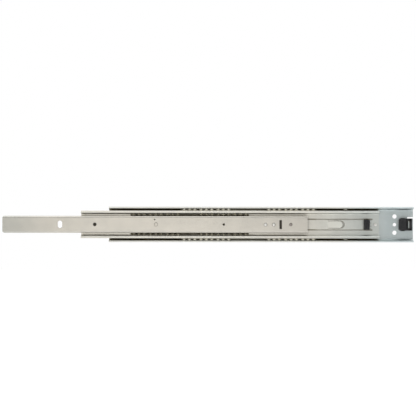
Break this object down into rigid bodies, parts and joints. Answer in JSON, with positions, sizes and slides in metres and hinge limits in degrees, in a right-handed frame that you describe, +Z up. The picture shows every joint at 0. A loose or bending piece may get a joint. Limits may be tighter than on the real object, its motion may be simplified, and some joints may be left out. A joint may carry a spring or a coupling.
{
  "type": "ball-bearing cabinet drawer slide",
  "caption": "Three-section telescoping steel drawer slide, partly extended, with ball cages between its rails and black rubber end bumpers.",
  "frame": {"origin": "the outer rail's mounting face at its front end and mid-height", "axes": "+X along the rails towards the back of the cabinet, +Y towards the cabinet's side wall, +Z up; the drawer is on the -Y side and opens towards -X"},
  "size_m": [0.6165, 0.0191, 0.053],
  "materials": {
    "rail_steel": "bright zinc-plated roll-formed steel, satin",
    "cage_steel": "dull grey strip steel",
    "ball_steel": "polished bearing steel, greased",
    "rivet_steel": "zinc-plated steel",
    "bumper_rubber": "black rubber, matt"
  },
  "bodies": {
    "outer": {"outer_rail": "rail_steel", "rear_bumper": "bumper_rubber"},
    "outer_cage": {"outer_cage": "cage_steel", "outer_balls_top_front": "ball_steel", "outer_balls_top_rear": "ball_steel", "outer_balls_bottom_front": "ball_steel", "outer_balls_bottom_rear": "ball_steel"},
    "mid": {"mid_rail": "rail_steel", "mid_bumper": "bumper_rubber", "mid_rivet": "rivet_steel"},
    "inner_cage": {"inner_cage": "cage_steel", "inner_balls_top_front": "ball_steel", "inner_balls_top_rear": "ball_steel", "inner_balls_bottom_front": "ball_steel", "inner_balls_bottom_rear": "ball_steel"},
    "inner": {"inner_rail": "rail_steel", "stop_bracket": "rivet_steel", "bracket_rivets": "rivet_steel", "rear_stud": "rivet_steel"}
  },
  "joints": [
    {"name": "mid_slide", "type": "slide", "parent": "outer", "child": "mid", "axis": [-1, 0, 0], "range_m": [-0.0298, 0.172]},
    {"name": "outer_cage_roll", "type": "slide", "parent": "outer", "child": "outer_cage", "axis": [-1, 0, 0], "range_m": [-0.015, 0.0861]},
    {"name": "inner_slide", "type": "slide", "parent": "mid", "child": "inner", "axis": [-1, 0, 0], "range_m": [-0.1271, 0.1281]},
    {"name": "inner_cage_roll", "type": "slide", "parent": "mid", "child": "inner_cage", "axis": [-1, 0, 0], "range_m": [-0.06365, 0.06415]}
  ],
  "couplings": [
    {"joint": "outer_cage_roll", "follows": "mid_slide", "ratio": 0.5},
    {"joint": "inner_cage_roll", "follows": "inner_slide", "ratio": 0.5}
  ]
}
